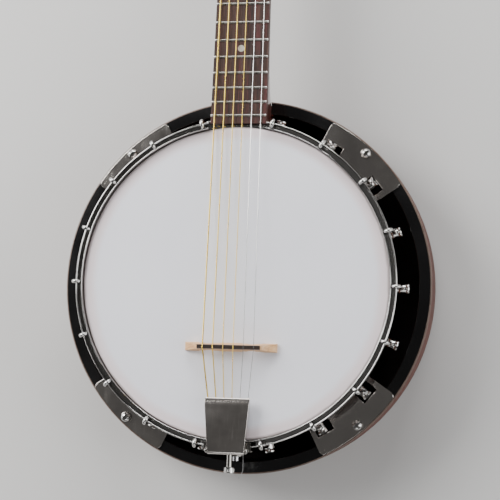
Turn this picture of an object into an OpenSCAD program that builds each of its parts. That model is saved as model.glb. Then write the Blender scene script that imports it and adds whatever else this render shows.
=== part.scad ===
// Six-string resonator banjo, lying on the flat back of its resonator.
// Origin: centre of the resonator's flat back. +Z: out through the drum head.
// +Y: along the neck, towards the peghead. All sizes in millimetres.

/* [Pot] */
// Nominal diameter of the drum head
head_d = 279.4; // [279:0.2:280]
// Height of the tension hoop's top above the resonator's back
hoop_top = 112; // [111:0.5:114]
// Depth of the head below the hoop's top
head_sink = 4.5; // [4:0.5:5]
// Inner radius of the tension hoop
hoop_ri = 141.4; // [141.3:0.1:141.5]
// Outer radius of the tension hoop
hoop_ro = 147.7; // [147.6:0.1:147.8]
// Height of the wood rim
rim_h = 65.5; // [60:0.5:68]
// Wall thickness of the wood rim
rim_t = 13; // [10:0.5:14]
// Height of the bracket shoes' centre line above the back
shoe_z = 77; // [76:0.5:78]

/* [Resonator] */
// Outer radius of the resonator at its lip
res_r = 173.5; // [172:0.5:175]
// Height of the resonator's lip
lip_z = 62; // [61:0.5:63]
// Width of the lip
lip_w = 11.5; // [10:0.5:12]
// Thickness of the resonator's back
back_t = 7; // [5:0.5:9]

/* [Flange plates] */
// Thickness of the plates
plate_t = 1.5; // [1:0.1:1.6]
// Angle from the neck line to the upper plates' centres
plate_a1 = 42.2; // [41.5:0.1:43]
// Angle from the neck line to the lower plates' centres
plate_a2 = 138.9; // [138.2:0.1:139.6]
// Angle that each plate spans
plate_span = 29.5; // [29:0.25:30]
// Radius of the thumbscrews' circle
screw_r = 165.7; // [165:0.1:166.5]

/* [Neck] */
// Scale length, from nut to bridge
scale_l = 628.65; // [620:0.05:635]
// Number of frets
n_frets = 19; // [17:1:19]
// Backward pitch of the neck in degrees
pitch = 3; // [2.5:0.25:3]
// Fingerboard width at the nut
w_nut = 43; // [41:0.5:45]
// Fingerboard width at its pot end
w_end = 51.6; // [50:0.2:52]
// Fingerboard thickness
fb_t = 6; // [5:0.5:6]

/* [Peghead] */
// Angle between the peghead and the neck
peg_a = 13; // [10:1:14]
// Length of the peghead
peg_l = 146; // [144:1:150]
// Thickness of the peghead with its veneer
peg_t = 15; // [14.5:0.5:15.5]

/* [Strings] */
// Distance between the outer strings at the bridge
span_bridge = 46.5; // [44:0.5:48]
// Distance between the outer strings at the nut
span_nut = 35.5; // [34:0.5:37]
// Height of the bridge above the head
bridge_h = 14.5; // [14:0.25:15]

/* [Hidden] */
$fn = 96;
head_z = hoop_top - head_sink;
rim_ro = head_d / 2 - 0.3;
rim_ri = rim_ro - rim_t;
tone_r = 3;
film_r = hoop_ri - 0.35;
rim_top = head_z - 2 * tone_r - 0.5;
rim_bot = rim_top - rim_h;
groove_z = hoop_top - 10;
hook_r = 1.8;
bend_r = 2.6;
rod_R = 149.6;
shoe_in = rim_ro + plate_t + 0.05;
res_ri = res_r - lip_w;
plate_z = lip_z;
y_bridge = -58;
fb_y0 = 144.2;
fb_z = hoop_top - 4.2;
bolt_z = shoe_z - 23;
heel_z = lip_z - 16;
y_nut = y_bridge + scale_l - fb_y0;
hook_a = [for (s = [-1, 1]) for (i = [0:8]) s * (12.8 + i * (180 - 11.8 - 12.8) / 8)];
plate_a = [-plate_a1, plate_a1, plate_a2, -plate_a2];
on_plate = [for (a = hook_a) len([for (p = plate_a) if (abs(a - p) < plate_span / 2) 1]) > 0];
post_x = [21.5, 23.5, 23.5];
post_y = [32, 67, 102];
str_r = [0.68, 0.56, 0.45, 0.35, 0.27, 0.24];
tail_z = hoop_top + 3.4;
adj_z = hoop_top - 9;

// ---- placing ----
// Turn the children to the angle a from the neck line; their +X points outward.
module at(a) rotate([0, 0, 90 + a]) children();
module neck_frame() translate([0, fb_y0, fb_z]) rotate([-pitch, 0, 0]) children();
module peg_frame() neck_frame() translate([0, y_nut + 5, -fb_t]) rotate([-peg_a, 0, 0]) children();
function NK(p) = [p.x, fb_y0 + p.y * cos(pitch) + p.z * sin(pitch), fb_z - p.y * sin(pitch) + p.z * cos(pitch)];
function PG(p) = NK([p.x, y_nut + 5 + p.y * cos(peg_a) + p.z * sin(peg_a), -fb_t - p.y * sin(peg_a) + p.z * cos(peg_a)]);
module ring(ri, ro, z0, z1) rotate_extrude($fn = 180) translate([ri, z0]) square([ro - ri, z1 - z0]);
module hex(af, h) cylinder(r = af / sqrt(3), h = h, $fn = 6);
function cr(p0, p1, p2, p3, t) = 0.5 * ((2 * p1) + (p2 - p0) * t + (2 * p0 - 5 * p1 + 4 * p2 - p3) * t * t + (3 * p1 - p0 - 3 * p2 + p3) * t * t * t);
// Smooth curve through the points, n steps to a span
function smooth(P, n) = [for (i = [0:len(P) - 2]) for (k = [0:n - 1]) cr(P[max(i - 1, 0)], P[i], P[i + 1], P[min(i + 2, len(P) - 1)], k / n), P[len(P) - 1]];
// Closed skin over rings of points
module skin(S) {
    n = len(S[0]); m = len(S);
    polyhedron(points = [for (s = S) for (p = s) p],
        faces = concat([[for (j = [0:n - 1]) j]], [[for (j = [n - 1:-1:0]) (m - 1) * n + j]],
            [for (i = [0:m - 2]) for (j = [0:n - 1]) [i * n + j, (i + 1) * n + j, (i + 1) * n + (j + 1) % n]],
            [for (i = [0:m - 2]) for (j = [0:n - 1]) [i * n + j, (i + 1) * n + (j + 1) % n, i * n + (j + 1) % n]]));
}
function unit(v) = v / norm(v);
// Round tube of radius r along the points P
module tube(P, r, sides = 8) {
    m = len(P);
    skin([for (i = [0:m - 1]) let (t = unit(P[min(i + 1, m - 1)] - P[max(i - 1, 0)]), a = unit(cross(t, [0, 0, 1])), b = cross(a, t))
        [for (j = [0:sides - 1]) P[i] + r * (cos(360 * j / sides) * a - sin(360 * j / sides) * b)]]);
}

// ---- pot ----
module rim() color([0.45, 0.22, 0.12]) difference() {
    rotate_extrude($fn = 180) polygon([[rim_ri + 1, rim_bot], [rim_ro - 1, rim_bot], [rim_ro, rim_bot + 1], [rim_ro, rim_top], [rim_ri + 0.8, rim_top], [rim_ri, rim_top - 0.8], [rim_ri, rim_bot + 1]]);
    for (a = hook_a) at(a) translate([rim_ri - 2, 0, shoe_z]) rotate([0, 90, 0]) cylinder(r = 2.2, h = rim_t + 4, $fn = 32);
    for (s = [-1, 1]) translate([0, s * (rim_ri - 2), shoe_z]) rotate([-s * 90, 0, 0]) cylinder(r = 3.15, h = rim_t + 4, $fn = 32);
    translate([0, rim_ri - 2, bolt_z]) rotate([-90, 0, 0]) cylinder(r = 3.15, h = rim_t + 4, $fn = 32);
}
module tone_ring() color([0.75, 0.6, 0.3]) rotate_extrude($fn = 180) translate([rim_ro - tone_r - 0.2, rim_top + tone_r + 0.02]) circle(r = tone_r, $fn = 32);
module head() color([0.9, 0.9, 0.92]) rotate_extrude($fn = 180)
    polygon(concat([[0, head_z], [0, head_z - 0.35]], [for (a = [90:-15:0]) [film_r - 1.3 + 0.95 * cos(a), head_z - 1.3 + 0.95 * sin(a)]],
        [[film_r - 0.35, head_z - 12.5], [film_r, head_z - 12.5]], [for (a = [0:15:90]) [film_r - 1.3 + 1.3 * cos(a), head_z - 1.3 + 1.3 * sin(a)]]));
module flesh_hoop() color([0.7, 0.7, 0.72]) ring(hoop_ri - 0.25, hoop_ri + 4.4, head_z - 12.8, head_z - 7.55);
module tension_hoop() color([0.75, 0.74, 0.72]) difference() {
    rotate_extrude($fn = 180) polygon(concat([[hoop_ri, head_z - 7.5], [hoop_ro - 0.5, head_z - 7.5], [hoop_ro, head_z - 7]],
        [for (a = [0:20:180]) [hoop_ro - 0.7 + 0.7 * cos(a), hoop_top - 1.2 + 0.7 * sin(a)]], [[hoop_ro - 1.4, groove_z], [hoop_ri + 1.1, groove_z]],
        [for (a = [0:20:180]) [hoop_ri + 0.55 + 0.55 * cos(a), hoop_top - 0.55 + 0.55 * sin(a)]]));
    translate([-w_end / 2 - 0.6, 100, head_z + 0.3]) cube([w_end + 1.2, 60, 20]);
    translate([-w_end / 2 - 0.6, 143.8, fb_z - fb_t - 0.5]) cube([w_end + 1.2, 60, 20]);
}
module hooks() color([0.8, 0.8, 0.8]) for (a = hook_a) at(a) {
    translate([rod_R, 0, shoe_z - 20]) cylinder(r = hook_r, h = hoop_top - 1.2 - shoe_z + 20, $fn = 32);
    translate([rod_R - bend_r, 0, hoop_top - 1.2]) rotate([90, 0, 0]) rotate_extrude(angle = 180, $fn = 64) translate([bend_r, 0]) circle(r = hook_r, $fn = 32);
    translate([rod_R - 2 * bend_r, 0, groove_z + 0.05]) cylinder(r = hook_r, h = hoop_top - 1.2 - groove_z - 0.05, $fn = 32);
}
module hook_nuts() color([0.7, 0.7, 0.7]) for (a = hook_a) at(a) translate([rod_R, 0, shoe_z - 17.1]) difference() {
    intersection() { hex(7, 12); rotate_extrude($fn = 48) polygon([[0, 0], [3, 0], [4.2, 1.4], [4.2, 12], [0, 12]]); }
    translate([0, 0, -1]) cylinder(r = hook_r + 0.06, h = 14, $fn = 32);
}
module bracket_shoes() color([0.78, 0.78, 0.78]) for (a = hook_a) at(a) difference() {
    translate([0, 0, shoe_z]) rotate([0, 90, 0]) rotate_extrude($fn = 64) translate([0, shoe_in]) polygon([[0, 0], [5.4, 0], [5.5, 0.5], [5.2, 1.2], [4, 2.2], [3.4, 3.4], [3.3, 4.4], [3.8, 5.2],
        [4.1, 6.2], [4.1, 10.6], [3.9, 11.3], [4.5, 12.1], [4.9, 12.7], [4.9, 13.4], [4.4, 14], [2.6, 14.5], [0, 14.7]]);
    translate([rod_R, 0, shoe_z - 8]) cylinder(r = hook_r + 0.12, h = 16, $fn = 32);
    translate([shoe_in - 1, 0, shoe_z]) rotate([0, 90, 0]) cylinder(r = 2.05, h = 6.5, $fn = 32);
}
module shoe_spacers() color([0.7, 0.7, 0.7]) for (i = [0:17]) if (!on_plate[i]) at(hook_a[i]) translate([rim_ro + 0.05, 0, shoe_z]) rotate([0, 90, 0]) difference() {
    cylinder(r = 5.6, h = plate_t - 0.05, $fn = 48);
    translate([0, 0, -1]) cylinder(r = 2.3, h = 4, $fn = 32);
}
module shoe_screws() color([0.6, 0.6, 0.62]) for (a = hook_a) at(a) translate([rim_ri - 0.25, 0, shoe_z]) rotate([0, 90, 0]) {
    translate([0, 0, -1]) cylinder(r = 6, h = 1, $fn = 48);
    translate([0, 0, -4.2]) hex(7, 3.2);
    translate([0, 0, -1]) cylinder(r = 1.95, h = rim_t + 7, $fn = 32);
}
module coordinator_rod() color([0.62, 0.62, 0.64]) {
    translate([0, -112, shoe_z]) rotate([-90, 0, 0]) cylinder(r = 4.8, h = 224, $fn = 48);
    translate([0, -160.5, shoe_z]) rotate([-90, 0, 0]) cylinder(r = 3, h = 326.5, $fn = 32);
    translate([0, 112, bolt_z]) rotate([-90, 0, 0]) cylinder(r = 3, h = 54, $fn = 32);
}
module rod_nuts() color([0.55, 0.55, 0.57]) {
    for (p = [[1, shoe_z], [-1, shoe_z], [1, bolt_z]]) translate([0, p[0] * (rim_ri - 0.4), p[1]]) rotate([p[0] * 90, 0, 0]) difference() {
        union() { cylinder(r = 8, h = 1.5, $fn = 48); translate([0, 0, 1.5]) hex(11, 5); }
        translate([0, 0, -1]) cylinder(r = 3.05, h = 10, $fn = 32);
    }
    translate([0, -rim_ro - 0.3, shoe_z]) rotate([90, 0, 0]) difference() {
        union() { cylinder(r = 8, h = 1.5, $fn = 48); translate([0, 0, 1.5]) hex(11, 5); }
        translate([0, 0, -1]) cylinder(r = 3.05, h = 10, $fn = 32);
    }
}

// ---- flange plates ----
module sector(ri, ro, z0, z1, span) rotate([0, 0, -span / 2]) rotate_extrude(angle = span, $fn = 180) translate([ri, z0]) square([ro - ri, z1 - z0]);
module flange_plates() color([0.3, 0.28, 0.27]) for (p = plate_a) at(p) difference() {
    union() {
        sector(rim_ro + 0.05, res_r - 5, plate_z, plate_z + plate_t, plate_span);
        sector(res_r - 5.3, res_r - 1.5, plate_z, plate_z + plate_t, plate_span - 2.6);
        for (s = [-1, 1]) rotate([0, 0, s * (plate_span / 2 - 1.3)]) translate([res_r - 5, 0, plate_z]) cylinder(r = 3.5, h = plate_t, $fn = 48);
        sector(rim_ro + 0.05, rim_ro + 0.05 + plate_t, plate_z, shoe_z + 6.5, plate_span);
    }
    for (a = hook_a) if (abs(a - p) < plate_span / 2) rotate([0, 0, a - p]) {
        translate([rim_ro + 4.2, -8.4, plate_z - 1]) cube([12, 16.8, 4]);
        translate([rim_ro - 1, 0, shoe_z]) rotate([0, 90, 0]) cylinder(r = 2.2, h = 4, $fn = 32);
    }
    translate([screw_r, 0, plate_z - 1]) cylinder(r = 2.2, h = 4, $fn = 32);
}
module thumbscrew(a) color([0.75, 0.75, 0.75]) at(a) translate([screw_r, 0, plate_z + plate_t + 0.05]) difference() {
    union() {
        rotate_extrude($fn = 64) polygon([[0, 0], [4.1, 0], [4.6, 0.5], [4.6, 2.8], [4.4, 3.8], [3.8, 4.8], [2.8, 5.6], [1.5, 6.15], [0, 6.3]]);
        translate([0, 0, -13]) cylinder(r = 1.95, h = 13.5, $fn = 32);
    }
    for (k = [0:23]) rotate([0, 0, k * 15]) translate([4.76, 0, 0.7]) cylinder(r = 0.35, h = 2, $fn = 16);
    translate([-6, -0.5, 5.3]) cube([12, 1, 3]);
}
module thumbscrew_1() thumbscrew(plate_a[0]);
module thumbscrew_2() thumbscrew(plate_a[1]);
module thumbscrew_3() thumbscrew(plate_a[2]);
module thumbscrew_4() thumbscrew(plate_a[3]);

// ---- resonator ----
module heel_gap() translate([0, 0, heel_z - 5]) linear_extrude(60) polygon([[-21.8, 150], [21.8, 150], [20.2, 190], [-20.2, 190]]);
module resonator_back() color([0.36, 0.13, 0.08]) rotate_extrude($fn = 180) polygon([[0, 0], [150, 0], [157, 0.6], [163, 2], [163, back_t], [0, back_t]]);
module resonator_wall() color([0.36, 0.14, 0.09]) difference() {
    rotate_extrude($fn = 180) polygon([[163.05, 2.1], [166.5, 3.6], [169.3, 6], [171.4, 9.5], [172.6, 14], [173.1, 20], [173.3, 30], [res_r - 0.2, lip_z - 3], [res_ri + 0.2, lip_z - 3], [res_ri + 0.2, back_t], [163.05, back_t]]);
    heel_gap();
    for (p = plate_a) at(p) translate([screw_r, 0, lip_z - 15]) cylinder(r = 3.9, h = 20, $fn = 48);
}
module resonator_lip() color([0.04, 0.04, 0.04]) difference() {
    rotate_extrude($fn = 180) polygon([[res_ri, lip_z - 2.95], [res_r - 1.3, lip_z - 2.95], [res_r - 1.3, lip_z], [res_ri + 0.8, lip_z], [res_ri + 0.2, lip_z - 0.3], [res_ri, lip_z - 1]]);
    heel_gap();
    for (p = plate_a) at(p) translate([screw_r, 0, lip_z - 5]) cylinder(r = 3.9, h = 10, $fn = 48);
}
module resonator_binding() color([0.75, 0.7, 0.6]) difference() {
    rotate_extrude($fn = 180) polygon([[res_r - 1.25, lip_z - 2.95], [res_r - 0.2, lip_z - 2.95], [res_r, lip_z - 2.6], [res_r, lip_z - 0.7], [res_r - 0.4, lip_z - 0.15], [res_r - 0.9, lip_z], [res_r - 1.25, lip_z]]);
    heel_gap();
}
module resonator_inserts() color([0.75, 0.6, 0.3]) for (p = plate_a) at(p) translate([screw_r, 0, lip_z - 14.5]) difference() {
    cylinder(r = 3.85, h = 14.4, $fn = 48);
    translate([0, 0, 1]) cylinder(r = 2.0, h = 20, $fn = 32);
}

// ---- neck ----
function fb_w(y) = w_end + (w_nut - w_end) * y / y_nut;
function ss(t) = let (u = min(max(t, 0), 1)) u * u * (3 - 2 * u);
// Depth of the neck's wood below the fingerboard, at the distance y from the board's pot end
function neck_d(y) = 19 + 2.5 * (1 - y / y_nut) + 58 * pow(1 - ss(y / 78), 1.6) + 1.2 * exp(-pow((y - y_nut) / 14, 2));
function neck_e(y) = 1 - 0.1 * ss(y / 60);
function neck_ring(y, n = 40) = let (w = fb_w(y) / 2, d = neck_d(y), e = neck_e(y))
    [for (k = [0:n]) let (a = 180 * k / n) [w * cos(a) * (abs(cos(a)) < 0.001 ? 1 : pow(abs(cos(a)), e - 1)), y, -fb_t - 0.01 - d * pow(sin(a), 0.94)]];
neck_y = concat([-6], [for (k = [0:13]) k * 6], [88, 104, 130, 170, 220, 270, 320, 360], [for (k = [5:-1:0]) y_nut + 5 - k * 8]);
module neck_raw() neck_frame() skin([for (y = neck_y) neck_ring(y)]);
module neck() color([0.2, 0.06, 0.05]) difference() {
    neck_raw();
    cylinder(r = rim_ro + 0.3, h = 200, center = true, $fn = 180);
    translate([0, 0, head_z - 15]) cylinder(r = hoop_ro + 0.5, h = 60, $fn = 180);
    translate([-40, 120, -20]) cube([80, 100, heel_z + 20]);
    translate([0, 120, shoe_z]) rotate([-90, 0, 0]) cylinder(r = 3.05, h = 48, $fn = 32);
    translate([0, 120, bolt_z]) rotate([-90, 0, 0]) cylinder(r = 3.05, h = 48, $fn = 32);
    neck_frame() translate([0, 40, -fb_t - 4]) rotate([-90, 0, 0]) cylinder(r = 3.05, h = 600, $fn = 32);
}
module heel_cap() color([0.05, 0.05, 0.05]) intersection() {
    neck_raw();
    difference() {
        translate([-40, 120, heel_z - 2.5]) cube([80, 100, 2.45]);
        cylinder(r = rim_ro + 0.3, h = 200, center = true, $fn = 180);
    }
}
module fingerboard() color([0.2, 0.11, 0.09]) neck_frame() difference() {
    translate([0, 0, -fb_t]) linear_extrude(fb_t) polygon([[-w_end / 2, 0], [w_end / 2, 0], [w_nut / 2, y_nut - 0.05], [-w_nut / 2, y_nut - 0.05]]);
    for (i = [1:n_frets]) translate([-40, fret_y(i) - 0.3, -2]) cube([80, 0.6, 4]);
    for (d = dots) translate([d[0], d[1], -1.5]) cylinder(r = 3.12, h = 3, $fn = 48);
}
function fret_y(i) = y_bridge + scale_l * pow(2, -i / 12) - fb_y0;
function mid_y(i) = (fret_y(i) + fret_y(i - 1)) / 2;
dots = concat([for (i = [3, 5, 7, 9, 15]) [0, mid_y(i)]], [[-11.5, mid_y(12)], [11.5, mid_y(12)]]);
module frets() color([0.8, 0.79, 0.75]) neck_frame() for (i = [1:n_frets]) {
    y = fret_y(i);
    w = fb_w(y);
    translate([-w / 2 + 0.1, y, 0.02]) intersection() {
        translate([0, 0, -0.25]) rotate([0, 90, 0]) cylinder(r = 1.2, h = w - 0.2, $fn = 32);
        translate([0, -2, 0]) cube([w, 4, 2]);
    }
    translate([-w / 2 + 0.1, y - 0.25, -1.8]) cube([w - 0.2, 0.5, 1.9]);
}
module position_dots() color([0.85, 0.82, 0.75]) neck_frame() for (d = dots) translate([d[0], d[1], -1.49]) cylinder(r = 3.1, h = 1.5, $fn = 48);
function nut_x(i) = -span_nut / 2 + i * span_nut / 5;
function br_x(i) = -span_bridge / 2 + i * span_bridge / 5;
// Centre height of string i where it crosses the nut, above the fingerboard
function nut_h(i) = 1.15 + str_r[i];
module nut() color([0.93, 0.91, 0.84]) neck_frame() difference() {
    translate([0, y_nut, -fb_t + 0.02]) intersection() {
        translate([-w_nut / 2, 0, 0]) cube([w_nut, 5, 9]);
        translate([-w_nut / 2, 0, 0]) rotate([90, 0, 90]) linear_extrude(w_nut) polygon([[0, 0], [5, 0], [5, 7.2], [3, 8.1], [0, 8.5]]);
    }
    for (i = [0:5]) translate([nut_x(i), y_nut - 1, nut_h(i)]) rotate([-90, 0, 0]) cylinder(r = str_r[i] + 0.06, h = 12, $fn = 24);
    for (i = [0:5]) translate([nut_x(i) - str_r[i] - 0.06, y_nut - 1, nut_h(i)]) cube([2 * str_r[i] + 0.12, 12, 4]);
    for (i = [0:5]) translate([nut_x(i), y_nut + 2.6, nut_h(i)]) rotate([-90 - peg_a - 6, 0, (i < 3 ? 1 : -1) * 5]) cylinder(r = str_r[i] + 0.3, h = 12, $fn = 24);
}
module truss_rod() color([0.5, 0.5, 0.5]) {
    neck_frame() translate([0, 41, -fb_t - 4]) rotate([-90, 0, 0]) cylinder(r = 2.95, h = y_nut - 36.5, $fn = 32);
    peg_frame() translate([0, 4.2, -4.2]) rotate([-90, 0, 0]) hex(5.5, 9);
}

// ---- peghead ----
peg_side = smooth([[w_nut / 2, 0], [w_nut / 2 + 0.4, 4], [26, 13], [35, 24], [37.5, 34], [37.2, 60], [37.6, 90], [38.6, 112], [39, 124], [36, 131], [28, 134], [18, 134.5], [9, 138], [4, 143], [0, 146]], 4);
peg_poly = concat([for (p = peg_side) p], [for (k = [len(peg_side) - 2:-1:0]) [-peg_side[k].x, peg_side[k].y]]);
module posts() for (s = [-1, 1]) for (i = [0:2]) translate([s * post_x[i], post_y[i], 0]) children();
module peghead() color([0.2, 0.06, 0.05]) difference() {
    peg_frame() translate([0, 0, -peg_t]) linear_extrude(peg_t - 1.55) polygon(concat([[-w_nut / 2, -8], [w_nut / 2, -8]], peg_poly));
    neck_frame() translate([-40, y_nut - 60, -60]) cube([80, 65.03, 80]);
    peg_frame() posts() translate([0, 0, -30]) cylinder(r = 4.6, h = 40, $fn = 32);
    peg_frame() translate([-4.5, -2, -8]) cube([9, 20, 20]);
}
module peghead_veneer() color([0.03, 0.03, 0.03]) difference() {
    peg_frame() translate([0, 0, -1.5]) linear_extrude(1.5) polygon(peg_poly);
    neck_frame() translate([-40, y_nut - 60, -60]) cube([80, 65.05, 80]);
    peg_frame() posts() translate([0, 0, -30]) cylinder(r = 4.6, h = 40, $fn = 32);
    peg_frame() translate([-4.5, -2, -8]) cube([9, 20, 20]);
}
module truss_cover() color([0.05, 0.05, 0.05]) peg_frame() difference() {
    translate([0, 0, 0.03]) linear_extrude(1.6) polygon(concat([for (a = [0:15:180]) [3.5 * cos(a), 29 + 3.5 * sin(a)]], [[-9, 14], [-9, 4], [-7.5, 2.6], [7.5, 2.6], [9, 4], [9, 14]]));
    for (p = cover_pts) translate([p.x, p.y, -1]) cylinder(r = 1.05, h = 4, $fn = 24);
}
cover_pts = [[-6.6, 5.4], [6.6, 5.4], [0, 28.5]];
module cover_screws() color([0.7, 0.7, 0.7]) peg_frame() for (p = cover_pts) translate([p.x, p.y, 1.66]) difference() {
    union() {
        rotate_extrude($fn = 32) polygon([[0, 0], [1.9, 0], [1.8, 0.4], [1.2, 0.8], [0, 1]]);
        translate([0, 0, -1.6]) cylinder(r = 0.95, h = 1.8, $fn = 24);
    }
    for (r = [0, 90]) rotate([0, 0, r]) translate([-1.1, -0.17, 0.5]) cube([2.2, 0.34, 1]);
}

// ---- tuners: s is the side, i the row; local +X points outward ----
module tuner(s, i) peg_frame() translate([s * post_x[i], post_y[i], 0]) mirror([s < 0 ? 1 : 0, 0, 0]) children();
module tuner_housings() color([0.72, 0.72, 0.72]) for (s = [-1, 1]) for (i = [0:2]) tuner(s, i) difference() {
    union() {
        translate([0, 0, -peg_t - 1.25]) linear_extrude(1.2) polygon(concat([for (a = [0:15:180]) [5 * cos(a), 14.5 + 5 * sin(a)]], [for (a = [180:15:360]) [5 * cos(a), -9 + 5 * sin(a)]]));
        translate([-7, -7.2, -peg_t - 11]) linear_extrude(10) polygon([[1.5, 0], [15.5, 0], [17, 1.5], [17, 18], [15.5, 19.5], [1.5, 19.5], [0, 18], [0, 1.5]]);
    }
    translate([-5.8, -6, -peg_t - 9.8]) cube([14.6, 17, 8.6]);
    translate([0, 0, -peg_t - 5]) cylinder(r = 3.08, h = 10, $fn = 32);
    translate([0, 8, -peg_t - 5.6]) rotate([0, 90, 0]) cylinder(r = 1.96, h = 20, $fn = 32);
    translate([0, 16.4, -peg_t - 5]) cylinder(r = 1.25, h = 10, $fn = 24);
    translate([0, -11, -peg_t - 5]) cylinder(r = 1.25, h = 10, $fn = 24);
}
module tuner_bushings() color([0.75, 0.75, 0.75]) for (s = [-1, 1]) for (i = [0:2]) tuner(s, i) difference() {
    union() {
        translate([0, 0, -9]) cylinder(r = 4.5, h = 9.1, $fn = 32);
        translate([0, 0, 0.05]) rotate_extrude($fn = 48) polygon([[0, 0], [6.6, 0], [6.8, 0.3], [6.4, 0.9], [5, 1.4], [0, 1.4]]);
    }
    translate([0, 0, -10]) cylinder(r = 3.06, h = 20, $fn = 32);
}
module tuner_screws() color([0.7, 0.7, 0.7]) for (s = [-1, 1]) for (i = [0:2]) tuner(s, i) for (y = [16.4, -11]) translate([0, y, -peg_t - 1.3]) rotate([180, 0, 0]) difference() {
    union() {
        rotate_extrude($fn = 32) polygon([[0, 0], [2.2, 0], [2.1, 0.5], [1.4, 1], [0, 1.2]]);
        translate([0, 0, -1.2]) cylinder(r = 1.15, h = 1.3, $fn = 24);
    }
    for (r = [0, 90]) rotate([0, 0, r]) translate([-1.3, -0.2, 0.6]) cube([2.6, 0.4, 1]);
}
module tuner_button(s, i) color([0.8, 0.8, 0.8]) tuner(s, i) translate([0, 8, -peg_t - 5.6]) {
    rotate([0, 90, 0]) {
        translate([0, 0, 10.1]) cylinder(r = 1.9, h = 12.4, $fn = 32);
        translate([0, 0, 10.15]) cylinder(r = 3.4, h = 0.01, $fn = 32);
        translate([0, 0, 8.4]) cylinder(r = 1.9, h = 2, $fn = 32);
        rotate_extrude($fn = 48) polygon([[0, -5.2], [2.2, -5.2], [2.5, -4.6], [1.9, -4], [2.5, -3.4], [1.9, -2.8], [2.5, -2.2], [1.9, -1.6], [2.5, -1], [1.9, -0.4], [2.5, 0.2], [1.9, 0.8], [2.5, 1.4], [1.9, 2], [2.5, 2.6], [1.9, 3.2], [2.5, 3.8], [2.2, 4.4], [1.9, 5], [1.9, 8.6], [0, 8.6]]);
        translate([0, 0, 17.6]) rotate_extrude($fn = 48) polygon([[0, 0], [2.6, 0], [3, 0.6], [2.5, 1.6], [2.4, 3], [0, 3]]);
    }
    intersection() {
        translate([20, 0, 0]) rotate([0, 90, 0]) rotate_extrude($fn = 48) polygon([[0, 0], [3, 0], [5.4, 1.5], [7.6, 4.5], [8.8, 8.5], [8.6, 12.5], [7, 15.4], [4.4, 16.8], [0, 17]]);
        translate([18, -10, -3]) cube([22, 20, 6]);
    }
}
module tuner_post(s, i) color([0.78, 0.78, 0.78]) tuner(s, i) difference() {
    union() {
        translate([0, 0, -peg_t - 3]) cylinder(r = 3, h = peg_t + 6, $fn = 48);
        rotate_extrude($fn = 48) polygon([[0, 2.9], [3, 2.9], [2.75, 3.6], [2.55, 5], [2.75, 6.6], [3, 7.4], [3, 10.4], [2.6, 11.1], [0, 11.4]]);
        translate([0, 0, -peg_t - 8]) difference() {
            cylinder(r = 5.2, h = 5.1, $fn = 48);
            for (k = [0:13]) rotate([0, 0, (k + 0.5) * 360 / 14]) translate([5.4, 0, -1]) cylinder(r = 0.5, h = 8, $fn = 16);
        }
    }
    translate([0, 0, 5]) rotate([90, 0, 0]) cylinder(r = 0.8, h = 10, center = true, $fn = 16);
    translate([0, 0, -peg_t - 9]) cylinder(r = 1.4, h = 1.6, $fn = 6);
}
module tuner_button_1() tuner_button(-1, 0);
module tuner_button_2() tuner_button(-1, 1);
module tuner_button_3() tuner_button(-1, 2);
module tuner_button_4() tuner_button(1, 2);
module tuner_button_5() tuner_button(1, 1);
module tuner_button_6() tuner_button(1, 0);
module tuner_post_1() tuner_post(-1, 0);
module tuner_post_2() tuner_post(-1, 1);
module tuner_post_3() tuner_post(-1, 2);
module tuner_post_4() tuner_post(1, 2);
module tuner_post_5() tuner_post(1, 1);
module tuner_post_6() tuner_post(1, 0);

// ---- strings, numbered 0 (thickest) to 5 ----
str_side = [-1, -1, -1, 1, 1, 1];
str_row = [0, 1, 2, 2, 1, 0];
wrap_r = 3.25;
tail_x = [for (i = [0:5]) -18 + i * 7.2];
function str_path(i) = let (s = str_side[i], c = [s * post_x[str_row[i]], post_y[str_row[i]]], r = wrap_r + str_r[i],
        zb = head_z + bridge_h, st = nut_h(i), n0 = [nut_x(i), 4.2 - 5, fb_t + st - 0.6], pz = 5.6)
    concat([[tail_x[i] * 0.8, -137, tail_z], [tail_x[i], -106, tail_z - 0.2], [br_x(i), y_bridge - 1.2, zb - 0.18], [br_x(i), y_bridge + 1.2, zb - 0.18]],
        [NK([nut_x(i), y_nut - 0.2, st]), NK([nut_x(i), y_nut + 2.4, st])],
        [for (k = [0:28]) PG([c.x - s * r * cos(k * 30), c.y + r * sin(k * 30), pz - (2 * str_r[i] + 0.08) * k / 12])]);
module string(i) tube(str_path(i), str_r[i], 8);
module ball_end(i) translate([tail_x[i] * 0.8, -139.3, tail_z]) rotate([0, 90, 0]) difference() {
    cylinder(r = 1.9, h = 3, center = true, $fn = 32);
    cylinder(r = 1.0, h = 4, center = true, $fn = 24);
}
module wound_strings() color([0.75, 0.6, 0.3]) for (i = [0:3]) { string(i); ball_end(i); }
module plain_strings() color([0.8, 0.8, 0.8]) for (i = [4, 5]) { string(i); ball_end(i); }

// ---- bridge ----
bz = head_z + 0.02;
module bridge_wedge(z0, z1) rotate([90, 0, 90]) linear_extrude(100, center = true) polygon([[-3.9, 0], [3.9, 0], [3.9, 1.5], [1.55, bridge_h], [-1.55, bridge_h], [-3.9, 1.5]]);
module bridge_body() color([0.85, 0.65, 0.4]) translate([0, y_bridge, bz]) intersection() {
    rotate([90, 0, 0]) linear_extrude(20, center = true) difference() {
        polygon([[-42, 0], [42, 0], [42, 3.2], [41, 4.6], [36, 6.6], [32.5, 9], [28.9, bridge_h - 2.5], [-28.9, bridge_h - 2.5], [-32.5, 9], [-36, 6.6], [-41, 4.6], [-42, 3.2]]);
        for (s = [-1, 1]) translate([s * 19.5, 0]) { translate([-6.5, -1]) square([13, 4.5]); translate([-6.5, -1]) circle(r = 4.4, $fn = 48); translate([6.5, -1]) circle(r = 4.4, $fn = 48); translate([0, 1.6]) circle(r = 4.8, $fn = 48); }
    }
    bridge_wedge();
}
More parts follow.
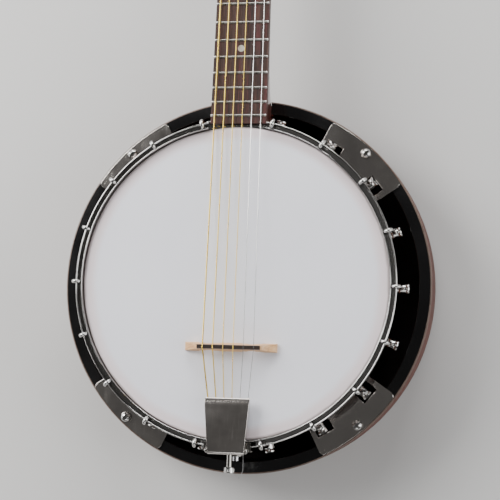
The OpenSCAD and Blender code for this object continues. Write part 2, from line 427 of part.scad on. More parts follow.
module bridge_cap() color([0.06, 0.05, 0.05]) difference() {
    translate([0, y_bridge, bz]) intersection() {
        translate([-28.7, -5, bridge_h - 2.45]) cube([57.4, 10, 2.35]);
        bridge_wedge();
    }
    for (i = [0:5]) translate([br_x(i), y_bridge - 4, head_z + bridge_h - 0.18]) rotate([-90, 0, 0]) cylinder(r = str_r[i] + 0.13, h = 8, $fn = 24);
    for (i = [0:5]) translate([br_x(i) - str_r[i] - 0.13, y_bridge - 4, head_z + bridge_h - 0.18]) cube([2 * str_r[i] + 0.26, 8, 3]);
}

// ---- tailpiece ----
pin_y = -149.5;
pin_z = hoop_top + 5.2;
module tail_plan() polygon([[-16.4, -154], [16.4, -154], [20.5, -102.8], [-20.5, -102.8]]);
module tailpiece_frame() color([0.7, 0.7, 0.7]) difference() {
    union() {
        // floor
        translate([0, 0, hoop_top + 0.3]) linear_extrude(1.2) polygon([[-14.8, -151.4], [14.8, -151.4], [18.4, -105.5], [-18.4, -105.5]]);
        // leg down to the coordinator rod
        translate([-9, -151.4, shoe_z - 7]) cube([18, 1.4, hoop_top + 1.5 - shoe_z + 7]);
        // ears over the hoop
        for (s = [-1, 1]) translate([s < 0 ? -21.4 : 14, -150.4, hoop_top + 0.3]) cube([7.4, 8.4, 1.2]);
        for (s = [-1, 1]) translate([s < 0 ? -21.4 : 16, -150.4, hoop_top - 8]) cube([5.4, 1.2, 9]);
        // hinge lugs beside the cover
        for (s = [-1, 1]) translate([s * 17.95 - 0.75, 0, 0]) { translate([0, pin_y - 2.4, hoop_top + 0.3]) cube([1.5, 4.8, pin_z - hoop_top - 0.3]); translate([0, pin_y, pin_z]) rotate([0, 90, 0]) cylinder(r = 2.4, h = 1.5, $fn = 48); }
        translate([-18.7, pin_y - 2.4, hoop_top + 0.3]) cube([37.4, 4.8, 1.2]);
        // rail with a slot for each string
        difference() {
            translate([-16.2, -137.2, hoop_top + 1.4]) cube([32.4, 1.6, 3.8]);
            for (i = [0:5]) translate([tail_x[i] * 0.804 - str_r[i] - 0.15, -140, tail_z - str_r[i] - 0.2]) cube([2 * str_r[i] + 0.3, 6, 6]);
        }
    }
    translate([0, -165, shoe_z]) rotate([-90, 0, 0]) cylinder(r = 3.1, h = 20, $fn = 32);
    translate([0, -165, adj_z]) rotate([-90, 0, 0]) cylinder(r = 1.62, h = 20, $fn = 32);
    translate([-20, pin_y, pin_z]) rotate([0, 90, 0]) cylinder(r = 1.22, h = 40, $fn = 32);
    // room over the hoop's wall for the ears
    ring(hoop_ri - 0.3, hoop_ro + 0.35, hoop_top - 40, hoop_top + 0.25);
}
cov_t = 1.1;
module tailpiece_cover() color([0.33, 0.31, 0.3]) difference() {
    // top, sides and rolled rear
    intersection() {
        translate([-30, 0, 0]) rotate([90, 0, 90]) linear_extrude(60) translate([0, pin_z])
            polygon(concat([for (a = [90:10:230]) [pin_y + 3.3 * cos(a), 3.3 * sin(a)]], [[pin_y, -3.2], [-110, -3.2], [-102.8, -0.9], [-102.8, -0.1], [-103.5, 0.7], [-109.4, 3.3]]));
        linear_extrude(200) tail_plan();
    }
    // hollow inside
    intersection() {
        translate([-30, 0, 0]) rotate([90, 0, 90]) linear_extrude(60) translate([0, pin_z])
            polygon(concat([for (a = [90:10:180]) [pin_y + 2.2 * cos(a), 2.2 * sin(a)]], [[pin_y - 2.2, -8], [-98, -8], [-98, -0.9], [-104.2, -0.4], [-109.8, 2.2]]));
        linear_extrude(200) polygon([[-15.9 + cov_t + 0.1, -160], [15.9 - cov_t - 0.1, -160], [20.7 - cov_t, -100], [-20.7 + cov_t, -100]]);
    }
    translate([-30, pin_y, pin_z]) rotate([0, 90, 0]) cylinder(r = 1.25, h = 60, $fn = 32);
}
module tailpiece_pin() color([0.7, 0.7, 0.7]) {
    translate([-18.8, pin_y, pin_z]) rotate([0, 90, 0]) cylinder(r = 1.2, h = 37.6, $fn = 32);
    for (s = [-1, 1]) translate([s * 18.75, pin_y, pin_z]) rotate([0, s * 90, 0]) rotate_extrude($fn = 32) polygon([[0, 0], [2, 0], [1.8, 0.5], [0, 0.9]]);
}
module tailpiece_hanger() color([0.75, 0.75, 0.75]) {
    // nut on the coordinator rod
    difference() {
        translate([0, -151.45, shoe_z]) rotate([90, 0, 0]) intersection() { hex(9.4, 5); rotate_extrude($fn = 48) polygon([[0, 0], [5.5, 0], [5.5, 4.3], [4.9, 5], [0, 5]]); }
        translate([0, -150, shoe_z]) rotate([90, 0, 0]) cylinder(r = 3.05, h = 30, $fn = 32);
    }
    // sleeve that the adjusting stud passes through
    difference() {
        translate([0, -151.45, adj_z]) rotate([90, 0, 0]) rotate_extrude($fn = 48) polygon([[0, 0], [4, 0], [4, 1], [2.4, 1.6], [2.4, 13.05], [0, 13.05]]);
        translate([0, -150, adj_z]) rotate([90, 0, 0]) cylinder(r = 1.62, h = 30, $fn = 32);
    }
}
module tailpiece_screw() color([0.75, 0.75, 0.75]) translate([0, -164.6, adj_z]) rotate([90, 0, 0]) difference() {
    union() {
        rotate_extrude($fn = 64) polygon([[0, 0], [4.1, 0], [4.6, 0.5], [4.6, 4.6], [4.1, 5.3], [3, 5.9], [1.6, 6.2], [0, 6.3]]);
        translate([0, 0, -15.2]) cylinder(r = 1.5, h = 15.4, $fn = 32);
    }
    for (k = [0:19]) rotate([0, 0, k * 18]) translate([4.78, 0, 0.8]) cylinder(r = 0.38, h = 3.5, $fn = 16);
    translate([-6, -0.5, 5.2]) cube([12, 1, 3]);
}

rim();
tone_ring();
head();
flesh_hoop();
tension_hoop();
hooks();
hook_nuts();
bracket_shoes();
shoe_spacers();
shoe_screws();
coordinator_rod();
rod_nuts();
flange_plates();
resonator_back();
resonator_wall();
resonator_lip();
resonator_binding();
resonator_inserts();
thumbscrew_1();
thumbscrew_2();
thumbscrew_3();
thumbscrew_4();
neck();
heel_cap();
fingerboard();
frets();
position_dots();
nut();
truss_rod();
peghead();
peghead_veneer();
truss_cover();
cover_screws();
tuner_housings();
tuner_bushings();
tuner_screws();
tuner_button_1();
tuner_button_2();
tuner_button_3();
tuner_button_4();
tuner_button_5();
tuner_button_6();
tuner_post_1();
tuner_post_2();
tuner_post_3();
tuner_post_4();
tuner_post_5();
tuner_post_6();
wound_strings();
plain_strings();
bridge_body();
bridge_cap();
tailpiece_frame();
tailpiece_cover();
tailpiece_pin();
tailpiece_hanger();
tailpiece_screw();
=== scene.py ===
import math
import bpy
import bmesh
from mathutils import Matrix, Vector


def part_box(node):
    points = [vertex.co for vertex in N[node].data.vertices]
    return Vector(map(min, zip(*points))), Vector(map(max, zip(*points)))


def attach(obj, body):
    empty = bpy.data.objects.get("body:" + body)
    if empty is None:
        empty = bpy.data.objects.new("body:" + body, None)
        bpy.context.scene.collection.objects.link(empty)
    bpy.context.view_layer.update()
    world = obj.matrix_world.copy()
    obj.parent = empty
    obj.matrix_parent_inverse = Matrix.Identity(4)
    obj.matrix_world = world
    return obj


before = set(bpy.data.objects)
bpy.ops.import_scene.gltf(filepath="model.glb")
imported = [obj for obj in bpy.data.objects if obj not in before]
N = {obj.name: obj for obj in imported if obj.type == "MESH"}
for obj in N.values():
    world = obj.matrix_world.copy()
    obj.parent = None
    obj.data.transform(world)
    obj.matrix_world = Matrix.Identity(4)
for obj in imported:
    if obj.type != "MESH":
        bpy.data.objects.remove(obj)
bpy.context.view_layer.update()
C = bpy.context.scene.collection


# ------------------------------------------------------------------ helpers
class T:
    """A small helper for building a node tree."""

    def __init__(self, name):
        self.m = bpy.data.materials.new(name)
        self.m.use_nodes = True
        self.t = self.m.node_tree
        self.t.nodes.clear()
        self.out = self.t.nodes.new("ShaderNodeOutputMaterial")
        self.p = self.t.nodes.new("ShaderNodeBsdfPrincipled")
        self.t.links.new(self.p.outputs[0], self.out.inputs[0])
        self.obj = None

    def n(self, kind, **kw):
        x = self.t.nodes.new("ShaderNode" + kind)
        for k, v in kw.items():
            setattr(x, k, v)
        return x

    def link(self, a, b):
        self.t.links.new(a, b)

    def put(self, sock, v):
        if hasattr(v, "node"):
            self.link(v, sock)
        else:
            sock.default_value = v

    def co(self):
        if self.obj is None:
            self.obj = self.n("TexCoord").outputs["Object"]
        return self.obj

    def map(self, v, scale=(1, 1, 1), rot=(0, 0, 0), loc=(0, 0, 0)):
        x = self.n("Mapping")
        self.link(v, x.inputs["Vector"])
        x.inputs["Scale"].default_value = scale
        x.inputs["Rotation"].default_value = rot
        x.inputs["Location"].default_value = loc
        return x.outputs[0]

    def noise(self, v, scale, detail=3.0, rough=0.5, dist=0.0):
        x = self.n("TexNoise")
        self.link(v, x.inputs["Vector"])
        x.inputs["Scale"].default_value = scale
        x.inputs["Detail"].default_value = detail
        x.inputs["Roughness"].default_value = rough
        x.inputs["Distortion"].default_value = dist
        return x.outputs["Fac"]

    def voro(self, v, scale, feature="F1"):
        x = self.n("TexVoronoi", feature=feature)
        self.link(v, x.inputs["Vector"])
        x.inputs["Scale"].default_value = scale
        return x.outputs["Distance"]

    def wave(self, v, scale, dist=0.0, detail=2.0, ds=1.0, kind="BANDS", direction="X", profile="SIN"):
        x = self.n("TexWave", wave_type=kind, wave_profile=profile)
        if kind == "BANDS":
            x.bands_direction = direction
        else:
            x.rings_direction = direction
        self.link(v, x.inputs["Vector"])
        x.inputs["Scale"].default_value = scale
        x.inputs["Distortion"].default_value = dist
        x.inputs["Detail"].default_value = detail
        x.inputs["Detail Scale"].default_value = ds
        return x.outputs["Fac"]

    def math(self, op, a, b=0.0, c=None, clamp=False):
        x = self.n("Math", operation=op, use_clamp=clamp)
        self.put(x.inputs[0], a)
        self.put(x.inputs[1], b)
        if c is not None:
            self.put(x.inputs[2], c)
        return x.outputs[0]

    def rng(self, v, a, b, c, d, smooth=False):
        x = self.n("MapRange")
        x.interpolation_type = "SMOOTHSTEP" if smooth else "LINEAR"
        self.put(x.inputs["Value"], v)
        for k, y in zip(("From Min", "From Max", "To Min", "To Max"), (a, b, c, d)):
            x.inputs[k].default_value = y
        return x.outputs["Result"]

    def ramp(self, v, stops, mode="LINEAR"):
        x = self.n("ValToRGB")
        x.color_ramp.interpolation = mode
        e = x.color_ramp.elements
        while len(e) < len(stops):
            e.new(0.5)
        for q, (pos, col) in zip(e, stops):
            q.position = pos
            q.color = (*col, 1.0)
        self.link(v, x.inputs[0])
        return x.outputs[0]

    def mix(self, f, a, b, mode="MIX"):
        x = self.n("Mix", data_type="RGBA", blend_type=mode)
        self.put(x.inputs[0], f)
        for sock, v in ((x.inputs[6], a), (x.inputs[7], b)):
            if hasattr(v, "node"):
                self.link(v, sock)
            else:
                sock.default_value = (*v, 1.0)
        return x.outputs[2]

    def bump(self, h, strength, dist, prev=None):
        x = self.n("Bump")
        x.inputs["Strength"].default_value = strength
        x.inputs["Distance"].default_value = dist
        self.link(h, x.inputs["Height"])
        if prev is not None:
            self.link(prev, x.inputs["Normal"])
        return x.outputs[0]

    def xyz(self, v):
        x = self.n("SeparateXYZ")
        self.link(v, x.inputs[0])
        return x.outputs[0], x.outputs[1], x.outputs[2]

    def vec(self, a, b, c):
        x = self.n("CombineXYZ")
        for i, v in enumerate((a, b, c)):
            self.put(x.inputs[i], v)
        return x.outputs[0]

    def polar(self, R):
        """(radius, distance round the circle of radius R, height) about the row's Z axis."""
        x, y, z = self.xyz(self.co())
        r = self.math("SQRT", self.math("ADD", self.math("MULTIPLY", x, x), self.math("MULTIPLY", y, y)))
        a = self.math("MULTIPLY", self.math("ARCTAN2", x, y), R)
        return r, a, z

    def set(self, **kw):
        for k, v in kw.items():
            s = self.p.inputs[k.replace("_", " ")]
            if hasattr(v, "node"):
                self.link(v, s)
            elif isinstance(v, tuple):
                s.default_value = (*v, 1.0)
            else:
                s.default_value = v
        return self.m


def metal(name, a, b, r0, r1, scale=120.0, bump=0.06, spots=0.0, edge=0.0):
    t = T(name)
    v = t.co()
    big = t.noise(v, scale, 4.0, 0.55)
    fine = t.noise(v, scale * 22, 3.0, 0.6)
    scr = t.noise(t.map(v, (900, 60, 60), (0.3, 0.9, 0.4)), 1.0, 2.0, 0.5)
    base = t.mix(t.rng(big, 0.3, 0.7, 0, 1), a, b)
    if spots:
        pit = t.rng(t.noise(v, 420.0, 5.0, 0.65), 0.60, 0.74, 0.0, spots)
        base = t.mix(pit, base, tuple(x * 0.45 for x in a))
    rough = t.math("ADD", t.rng(big, 0.25, 0.75, r0, r1), t.rng(scr, 0.55, 0.8, 0.0, (r1 - r0) * 0.9))
    if edge:
        soft = t.n("Bevel", samples=6)
        soft.inputs["Radius"].default_value = edge
        nb = t.bump(fine, bump, 0.00004, soft.outputs["Normal"])
    else:
        nb = t.bump(fine, bump, 0.00004)
    nb = t.bump(scr, bump * 0.6, 0.00003, nb)
    return t.set(Base_Color=base, Metallic=1.0, Roughness=rough, Normal=nb)


def wood(name, dark, mid, light, coords, rough=(0.25, 0.4), coat=0.0, scale=(1, 1, 1), figure=1.0, pores=0.5, bump=0.15, streak=None, stain_and_painted_shade=None, spec=0.5):
    """Grain along the second coordinate; the inside mask gives where the inside is darkened to near black, partly
    dark stain on the wood and partly painted shade.
    """
    t = T(name)
    v = coords(t)
    warp = t.noise(t.map(v, (14 * scale[0], 3.0 * scale[1], 14 * scale[2])), 1.0, 3.0, 0.5)
    band = t.noise(t.map(v, (170 * scale[0], 6 * scale[1], 170 * scale[2])), 1.0, 5.0, 0.62, 0.6)
    fine = t.noise(t.map(v, (900 * scale[0], 22 * scale[1], 900 * scale[2])), 1.0, 4.0, 0.6)
    por = t.noise(t.map(v, (2600 * scale[0], 150 * scale[1], 2600 * scale[2])), 1.0, 2.0, 0.5)
    g = t.math("ADD", t.math("MULTIPLY", band, 0.62), t.math("MULTIPLY", fine, 0.38))
    g = t.math("ADD", g, t.rng(warp, 0.2, 0.8, -0.09 * figure, 0.09 * figure))
    col = t.ramp(g, [(0.33, dark), (0.5, mid), (0.68, light)])
    if streak:
        s = t.rng(t.noise(t.map(v, (330 * scale[0], 3.0 * scale[1], 330 * scale[2]), loc=(3.1, 0.7, 1.9)), 1.0, 3.0, 0.55), 0.52, 0.66, 0.0, 0.85)
        col = t.mix(s, col, streak)
    pf = t.rng(por, 0.60, 0.70, 0.0, pores)
    col = t.mix(pf, col, tuple(c * 0.35 for c in dark))
    ro = t.rng(g, 0.3, 0.7, rough[1], rough[0])
    lac = coat
    if stain_and_painted_shade:
        # painted shade: the inside of the resonator darkened to near black, deeper than the wood's dark stain
        u = stain_and_painted_shade(t)
        col = t.mix(u, col, tuple(c * 0.09 for c in dark))
        ro = t.math("MAXIMUM", ro, t.math("MULTIPLY", u, 0.85))
        lac = t.math("MULTIPLY", t.math("SUBTRACT", 1.0, u), coat) if coat else 0.0
    nb = t.bump(t.math("SUBTRACT", fine, t.math("MULTIPLY", pf, 0.9)), bump, 0.0001)
    t.set(Base_Color=col, Roughness=ro, Normal=nb, Specular_IOR_Level=spec)
    if coat:
        t.set(Coat_Weight=lac, Coat_Roughness=0.06)
    return t.m


def along_y(t):
    return t.co()


def along_x(t):
    x, y, z = t.xyz(t.co())
    return t.vec(y, x, z)


def around(R):
    def f(t):
        r, a, z = t.polar(R)
        return t.vec(r, a, z)
    return f


# inner face of the resonator wall: dark stain and painted shade
def inside_wall(t):
    r, a, z = t.polar(0.17)
    return t.rng(r, 0.1632, 0.1636, 1.0, 0.0)


# inside face of the resonator back: dark stain and painted shade
def inside_back(t):
    x, y, z = t.xyz(t.co())
    return t.rng(z, 0.0060, 0.0066, 0.0, 1.0)


# ------------------------------------------------------------------ materials
CHROME = metal("chrome", (0.52, 0.51, 0.50), (0.60, 0.59, 0.575), 0.04, 0.10, 70, 0.05, 0.0)
PLATE = metal("polished_plate", (0.60, 0.565, 0.54), (0.68, 0.645, 0.615), 0.07, 0.17, 45, 0.05, 0.12, edge=0.0008)
TAIL = metal("tailpiece_plate", (0.60, 0.565, 0.535), (0.68, 0.64, 0.61), 0.11, 0.20, 55, 0.06, 0.1)
NICKEL = metal("aged_nickel", (0.30, 0.29, 0.27), (0.40, 0.385, 0.36), 0.10, 0.24, 90, 0.08, 0.3)
STEEL = metal("zinc_steel", (0.42, 0.42, 0.43), (0.52, 0.52, 0.53), 0.22, 0.38, 160, 0.14, 0.25)
BRASS = metal("brass", (0.62, 0.44, 0.19), (0.72, 0.54, 0.27), 0.18, 0.32, 140, 0.10, 0.3)


def fret_metal():
    """Nickel silver, tarnished dull along the top, with the ends painted near white as a glint."""
    m = metal("fret_wire", (0.27, 0.26, 0.24), (0.36, 0.35, 0.32), 0.22, 0.36, 300, 0.10, 0.2)
    t = T.__new__(T)
    t.m, t.t, t.obj = m, m.node_tree, None
    t.p = [n for n in t.t.nodes if n.type == "BSDF_PRINCIPLED"][0]
    x, y, z = t.xyz(t.co())
    half = t.math("SUBTRACT", 0.02725, t.math("MULTIPLY", y, 0.01008))
    # painted glint: the fret ends mixed toward near white
    end = t.rng(t.math("SUBTRACT", half, t.math("ABSOLUTE", x)), 0.0006, 0.0018, 1.0, 0.0)
    old = t.p.inputs["Base Color"].links[0].from_socket
    t.link(t.mix(end, old, (0.86, 0.85, 0.82)), t.p.inputs["Base Color"])
    return m


FRETM = fret_metal()
MAPLE_RIM = wood("rim_maple", (0.085, 0.026, 0.012), (0.135, 0.044, 0.020), (0.20, 0.072, 0.033), around(0.135), coat=0.6, pores=0.25, bump=0.08)
MAHOG = wood("mahogany", (0.040, 0.009, 0.005), (0.092, 0.022, 0.012), (0.155, 0.044, 0.026), around(0.17), pores=0.7, bump=0.05, rough=(0.34, 0.46), stain_and_painted_shade=inside_wall, spec=0.08)
MAHOG_BACK = wood("mahogany_back", (0.085, 0.022, 0.013), (0.175, 0.052, 0.030), (0.28, 0.096, 0.056), along_y, coat=1.0, pores=0.7, bump=0.05, scale=(0.75, 0.6, 0.75), figure=1.7, rough=(0.22, 0.34), stain_and_painted_shade=inside_back)
NECKW = wood("neck_wood", (0.040, 0.010, 0.008), (0.085, 0.019, 0.014), (0.145, 0.036, 0.024), along_y, coat=1.0, pores=0.6, bump=0.05, rough=(0.24, 0.36))
ROSE = wood("rosewood", (0.015, 0.007, 0.0055), (0.050, 0.023, 0.017), (0.120, 0.060, 0.043), along_y, pores=0.8, bump=0.35, rough=(0.40, 0.55), streak=(0.095, 0.024, 0.024), spec=0.3)
MAPLE = wood("bridge_maple", (0.52, 0.25, 0.095), (0.76, 0.45, 0.215), (0.90, 0.66, 0.40), along_x, pores=0.18, bump=0.10, rough=(0.36, 0.5), scale=(1.6, 1.6, 1.6))
EBONY = wood("ebony", (0.010, 0.007, 0.006), (0.022, 0.014, 0.011), (0.045, 0.028, 0.022), along_x, pores=0.5, bump=0.15, rough=(0.3, 0.45), scale=(1.6, 1.6, 1.6))


def gloss_black(name, coat=1.0):
    t = T(name)
    v = t.co()
    dust = t.rng(t.noise(v, 2600, 2.0, 0.5), 0.66, 0.74, 0.0, 0.28)
    big = t.noise(v, 22, 4.0, 0.6)
    col = t.mix(t.rng(big, 0.3, 0.7, 0, 1), (0.0030, 0.0029, 0.0031), (0.0065, 0.0062, 0.0065))
    col = t.mix(dust, col, (0.035, 0.035, 0.037))
    peel = t.bump(t.noise(v, 160, 3.0, 0.5), 0.035, 0.0004)
    t.set(Base_Color=col, Roughness=t.rng(big, 0.3, 0.7, 0.14, 0.26), Normal=peel, Specular_IOR_Level=0.35, Coat_Weight=coat, Coat_Roughness=0.05)
    return t.m


BLACK = gloss_black("black_lacquer", 0.6)


def plastic(name, a, b, r0, r1, scale=90, bump=0.08, layers=None):
    t = T(name)
    v = t.co()
    big = t.noise(v, scale, 4.0, 0.6)
    col = t.mix(t.rng(big, 0.3, 0.7, 0, 1), a, b)
    if layers:
        w = t.noise(t.map(v, (18, 18, 2600)), 1.0, 2.0, 0.5)
        col = t.mix(t.rng(w, 0.45, 0.6, 0, 0.45), col, layers)
    nb = t.bump(t.noise(v, scale * 18, 3.0, 0.6), bump, 0.00005)
    t.set(Base_Color=col, Roughness=t.rng(big, 0.3, 0.7, r0, r1), Normal=nb, Specular_IOR_Level=0.5)
    return t.m


BPLAST = plastic("black_plastic", (0.012, 0.012, 0.012), (0.022, 0.021, 0.021), 0.18, 0.30)
BINDING = plastic("binding", (0.125, 0.085, 0.068), (0.175, 0.125, 0.10), 0.26, 0.38, layers=(0.08, 0.05, 0.038))
BONE = plastic("bone", (0.80, 0.76, 0.64), (0.88, 0.85, 0.75), 0.28, 0.42, 260, 0.12, layers=(0.70, 0.62, 0.46))


def pearl():
    t = T("pearl")
    v = t.co()
    w = t.noise(t.map(v, (160, 90, 160), (0, 0, 0.7)), 1.0, 4.0, 0.6, 2.2)
    col = t.ramp(w, [(0.3, (0.32, 0.25, 0.20)), (0.45, (0.46, 0.40, 0.33)), (0.56, (0.52, 0.49, 0.43)), (0.7, (0.38, 0.39, 0.36))])
    nb = t.bump(w, 0.25, 0.0004)
    t.set(Base_Color=col, Roughness=t.rng(w, 0.3, 0.7, 0.12, 0.28), Normal=nb, Coat_Weight=0.7, Coat_Roughness=0.05)
    return t.m


PEARL = pearl()


def head_film():
    t = T("head_film")
    r, a, z = t.polar(0.14)
    v = t.co()
    mott = t.noise(v, 11, 4.0, 0.55)
    spray = t.noise(v, 3200, 3.0, 0.6)
    col = t.mix(t.rng(mott, 0.3, 0.7, 0, 1), (0.822, 0.829, 0.892), (0.856, 0.862, 0.920))
    wob = t.math("ADD", r, t.rng(t.noise(v, 26, 3.0, 0.5), 0.3, 0.7, -0.0012, 0.0012))
    edge = t.rng(wob, 0.1270, 0.1360, 0.0, 0.85, smooth=True)
    col = t.mix(edge, col, (0.800, 0.690, 0.705))
    # painted shade: a darker ring where the head's edge turns down into the gap by the hoop
    rim = t.rng(wob, 0.1388, 0.1402, 0.0, 0.9)
    col = t.mix(rim, col, (0.42, 0.37, 0.37))
    speck = t.rng(spray, 0.62, 0.75, 0.0, 0.16)
    col = t.mix(speck, col, (0.58, 0.58, 0.60))
    nb = t.bump(spray, 0.22, 0.00012)
    t.set(Base_Color=col, Roughness=t.rng(mott, 0.3, 0.7, 0.50, 0.60), Normal=nb, Specular_IOR_Level=0.38)
    return t.m


HEAD = head_film()


def strings(name, a, b, wound):
    t = T(name)
    v = t.co()
    big = t.noise(v, 60, 3.0, 0.5)
    col = t.mix(t.rng(big, 0.3, 0.7, 0, 1), a, b)
    if wound:
        w = t.wave(v, 380.0, 0.0, 0.0, 1.0, "BANDS", "Y")
        # painted shade: darker in the grooves between the windings
        col = t.mix(t.rng(w, 0.0, 0.35, 0.55, 0.0), col, tuple(x * 0.4 for x in a))
        nb = t.bump(w, 0.7, 0.00012)
        t.set(Base_Color=col, Metallic=1.0, Roughness=t.rng(big, 0.3, 0.7, 0.24, 0.36), Normal=nb)
    else:
        nb = t.bump(t.noise(v, 3000, 2.0, 0.5), 0.1, 0.00003)
        t.set(Base_Color=col, Metallic=1.0, Roughness=t.rng(big, 0.3, 0.7, 0.16, 0.26), Normal=nb)
    return t.m


BRONZE = strings("phosphor_bronze", (0.886, 0.606, 0.122), (0.978, 0.737, 0.180), True)
PLAINS = strings("string_steel", (0.74, 0.74, 0.72), (0.84, 0.84, 0.82), False)

SLOTM = {
    "chrome": CHROME, "steel": STEEL, "brass": BRASS, "rim_maple": MAPLE_RIM, "head_film": HEAD, "mahogany": MAHOG,
    "black_lip": BLACK, "binding": BINDING, "neck_wood": NECKW, "black_plastic": BPLAST, "rosewood": ROSE,
    "fret_wire": FRETM, "pearl": PEARL, "bone": BONE, "bronze": BRONZE, "string_steel": PLAINS,
    "bridge_maple": MAPLE, "ebony": EBONY,
}
SPECIAL = {"tailpiece_hanger": NICKEL, "tailpiece_frame": NICKEL, "flange_plates": PLATE, "tailpiece_cover": TAIL, "resonator_back": MAHOG_BACK, "peghead_veneer": BLACK}


def paint(o, m):
    if not o.material_slots:
        o.data.materials.append(m)
    for s in o.material_slots:
        s.material = m


for name, o in N.items():
    old = o.data.materials[0].name if o.data.materials else ""
    m = SPECIAL.get(name) or SLOTM.get(old.split(".")[0])
    paint(o, m)

# ------------------------------------------------------------------ softened edges on the CAD nodes
BEV = {
    "tension_hoop": 0.1, "hook_nuts": 0.25, "tailpiece_cover": 0.18, "tailpiece_frame": 0.22,
    "tailpiece_hanger": 0.25, "tailpiece_screw": 0.12, "thumbscrew_1": 0.12, "thumbscrew_2": 0.12, "thumbscrew_3": 0.12, "thumbscrew_4": 0.12, "bridge_body": 0.35, "bridge_cap": 0.3, "nut": 0.25, "peghead": 0.5,
    "peghead_veneer": 0.25, "truss_cover": 0.3, "tuner_housings": 0.35, "fingerboard": 0.3, "resonator_lip": 0.3,
    "resonator_wall": 0.3, "resonator_back": 0.25, "rim": 0.4, "heel_cap": 0.4, "shoe_spacers": 0.2, "rod_nuts": 0.3,
    "shoe_screws": 0.3, "coordinator_rod": 0.3, "tailpiece_pin": 0.25, "neck": 0.3,
}


def soften(o, width, seg=2, angle=32, weld=2e-6, clamp=True):
    w = o.modifiers.new("weld", "WELD")
    w.merge_threshold = weld
    b = o.modifiers.new("bevel", "BEVEL")
    b.width = width / 1000
    b.segments = seg
    b.limit_method = "ANGLE"
    b.angle_limit = math.radians(angle)
    b.use_clamp_overlap = clamp
    b.harden_normals = False
    n = o.modifiers.new("normals", "WEIGHTED_NORMAL")
    n.weight = 100
    n.keep_sharp = False


for name, w in BEV.items():
    o = N[name]
    if "custom_normal" in o.data.attributes:
        o.data.attributes.remove(o.data.attributes["custom_normal"])
    for p in o.data.polygons:
        p.use_smooth = True
    soften(o, w, 3 if w >= 0.4 else 2)

# ------------------------------------------------------------------ the clipped end of a plain string below the tailpiece
def tube(name, pts, radius, sides=10, per=10):
    """Round wire through the points, narrowed at both ends and closed there with flat caps."""
    P = [Vector(p) / 1000 for p in pts]
    Q = []
    for i in range(len(P) - 1):
        p0, p1, p2, p3 = P[max(i - 1, 0)], P[i], P[i + 1], P[min(i + 2, len(P) - 1)]
        for k in range(per):
            t = k / per
            Q.append(0.5 * ((2 * p1) + (p2 - p0) * t + (2 * p0 - 5 * p1 + 4 * p2 - p3) * t * t + (3 * p1 - p0 - 3 * p2 + p3) * t ** 3))
    Q.append(P[-1])
    bm = bmesh.new()
    rings = []
    up = Vector((0.3, 0.2, 1)).normalized()
    for i, q in enumerate(Q):
        d = (Q[min(i + 1, len(Q) - 1)] - Q[max(i - 1, 0)]).normalized()
        a = d.cross(up).normalized()
        b = d.cross(a)
        rr = radius / 1000 * (0.6 if i in (0, len(Q) - 1) else 1.0)
        rings.append([bm.verts.new(q + rr * (math.cos(2 * math.pi * j / sides) * a + math.sin(2 * math.pi * j / sides) * b)) for j in range(sides)])
    for r0, r1 in zip(rings, rings[1:]):
        for j in range(sides):
            bm.faces.new((r0[j], r0[(j + 1) % sides], r1[(j + 1) % sides], r1[j]))
    bm.faces.new(rings[0][::-1])
    bm.faces.new(rings[-1])
    bmesh.ops.recalc_face_normals(bm, faces=bm.faces)
    me = bpy.data.meshes.new(name)
    bm.to_mesh(me)
    bm.free()
    for p in me.polygons:
        p.use_smooth = True
    o = bpy.data.objects.new(name, me)
    C.objects.link(o)
    return o


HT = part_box("tension_hoop")[1][2] * 1000.0
loose = tube("string_end", [(14.2, -150.6, HT + 0.4), (13.9, -154.0, HT - 2.5), (13.3, -158.0, HT - 6), (11.8, -163.0, HT - 13), (10.2, -167.8, HT - 20), (6.8, -172.3, HT - 29), (3.2, -175.6, HT - 37), (1.6, -176.8, HT - 40.5)], 0.22)
paint(loose, STEEL)
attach(loose, "banjo")

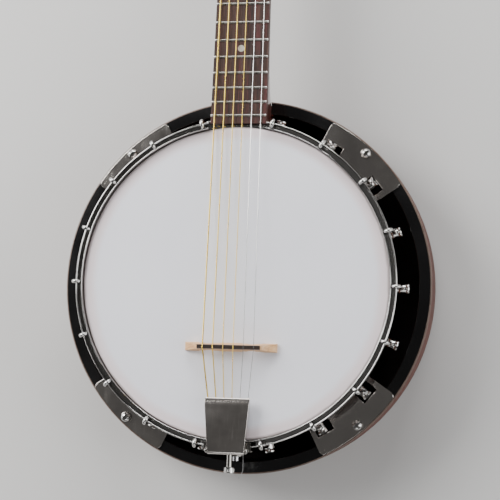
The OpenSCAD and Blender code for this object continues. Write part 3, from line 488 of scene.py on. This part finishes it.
# ------------------------------------------------------------------ camera (fitted to the view of the pot)
RV, TX, TY, D, F = (-0.0814, -0.2149, -0.0203), -15.8815, -28.8462, 1310.8945, 1464.787
CXP, CYP = 250.0, 250.0
th = math.sqrt(sum(x * x for x in RV))
Rcw = Matrix.Rotation(th, 3, Vector(RV) / th)        # row frame -> camera frame
cam = bpy.data.cameras.new("camera")
camo = bpy.data.objects.new("camera", cam)
C.objects.link(camo)
cam.sensor_fit = "HORIZONTAL"
cam.sensor_width = 36.0
cam.lens = F * 36.0 / 500.0
cam.shift_x = (250.0 - CXP) / 500.0
cam.shift_y = (CYP - 250.0) / 500.0
Rwc = Rcw.transposed()
loc = -(Rwc @ Vector((TX, TY, -D)))
loc.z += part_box("tension_hoop")[1][2] * 1000.0
camo.matrix_world = Matrix.Translation(loc / 1000.0) @ Rwc.to_4x4()
cam.clip_start, cam.clip_end = 0.05, 30
bpy.context.scene.camera = camo

# ------------------------------------------------------------------ floor, world, lights
def floor():
    bm = bmesh.new()
    bmesh.ops.create_grid(bm, x_segments=1, y_segments=1, size=4.0)
    me = bpy.data.meshes.new("floor")
    bm.to_mesh(me)
    bm.free()
    o = bpy.data.objects.new("floor", me)
    C.objects.link(o)
    o.location.z = -0.0005
    t = T("floor_pale")
    v = t.co()
    col = t.mix(t.rng(t.noise(v, 3.0, 4.0, 0.5), 0.3, 0.7, 0, 1), (0.60, 0.595, 0.585), (0.64, 0.635, 0.625))
    t.set(Base_Color=col, Roughness=0.75, Normal=t.bump(t.noise(v, 220, 3.0, 0.5), 0.05, 0.001))
    paint(o, t.m)


floor()
world = bpy.data.worlds.new("studio")
bpy.context.scene.world = world
world.use_nodes = True
bg = world.node_tree.nodes["Background"]
bg.inputs[0].default_value = (0.098, 0.096, 0.094, 1)
bg.inputs[1].default_value = 1.0


def area(name, loc, target, size, power, col=(1, 1, 1)):
    d = bpy.data.lights.new(name, "AREA")
    d.shape = "RECTANGLE"
    d.size, d.size_y = size
    d.energy = power
    d.color = col
    o = bpy.data.objects.new(name, d)
    C.objects.link(o)
    o.location = loc
    o.rotation_mode = "QUATERNION"
    o.rotation_quaternion = (Vector(target) - Vector(loc)).to_track_quat("-Z", "Y")
    return o


area("key", (-1.35, 0.85, 1.35), (0, 0, 0.05), (1.1, 1.4), 55, (1.0, 0.99, 0.975))
area("fill", (1.55, -0.15, 0.95), (0, 0.05, 0.05), (0.8, 1.3), 14, (0.98, 0.99, 1.0))
area("top", (0.1, 1.75, 0.85), (0, 0.15, 0.05), (1.4, 0.6), 32)
area("low", (0.25, -1.45, 0.95), (0, 0, 0.05), (1.3, 0.5), 6)
area("strip_left", (-1.45, 0.1, 0.42), (0, 0, 0.1), (1.5, 0.35), 9)
area("strip_right", (1.55, 0.1, 0.42), (0, 0, 0.1), (1.5, 0.35), 5)
